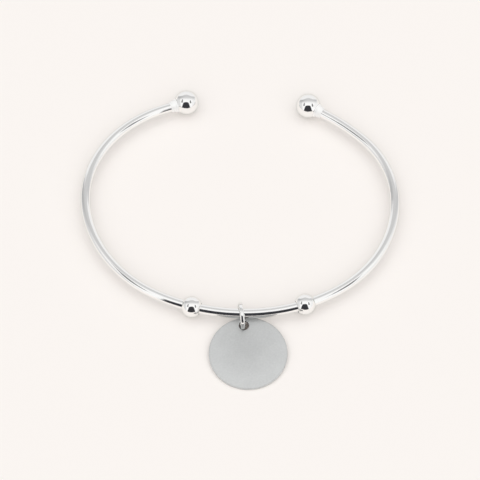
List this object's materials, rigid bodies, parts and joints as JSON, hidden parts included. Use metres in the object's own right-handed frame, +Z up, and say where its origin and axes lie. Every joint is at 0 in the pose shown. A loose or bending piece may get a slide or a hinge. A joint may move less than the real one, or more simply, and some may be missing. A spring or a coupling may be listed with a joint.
{
  "type": "charm bangle",
  "caption": "Open oval bangle of round silver wire with ball ends and a flat round blank charm on a jump ring held between stopper beads.",
  "frame": {"origin": "on the surface that the bangle lies on, under the middle of its outer box", "axes": "+Z up from the surface, square to the plane of the bangle; +Y towards the open gap between the ball ends; -Y towards the disc charm; +X to the right seen from the charm's side"},
  "size_m": [0.063, 0.0669, 0.0052],
  "materials": {
    "polished_silver": "polished, with fine handling scratches",
    "satin_silver": "matt, finely tumbled, with a bright rim"
  },
  "bodies": {
    "root": {"bangle_wire": "polished_silver", "end_ball_left": "polished_silver", "end_ball_right": "polished_silver", "stopper_bead_left": "polished_silver", "stopper_bead_right": "polished_silver", "jump_ring": "polished_silver", "disc_charm": "satin_silver"}
  },
  "joints": []
}
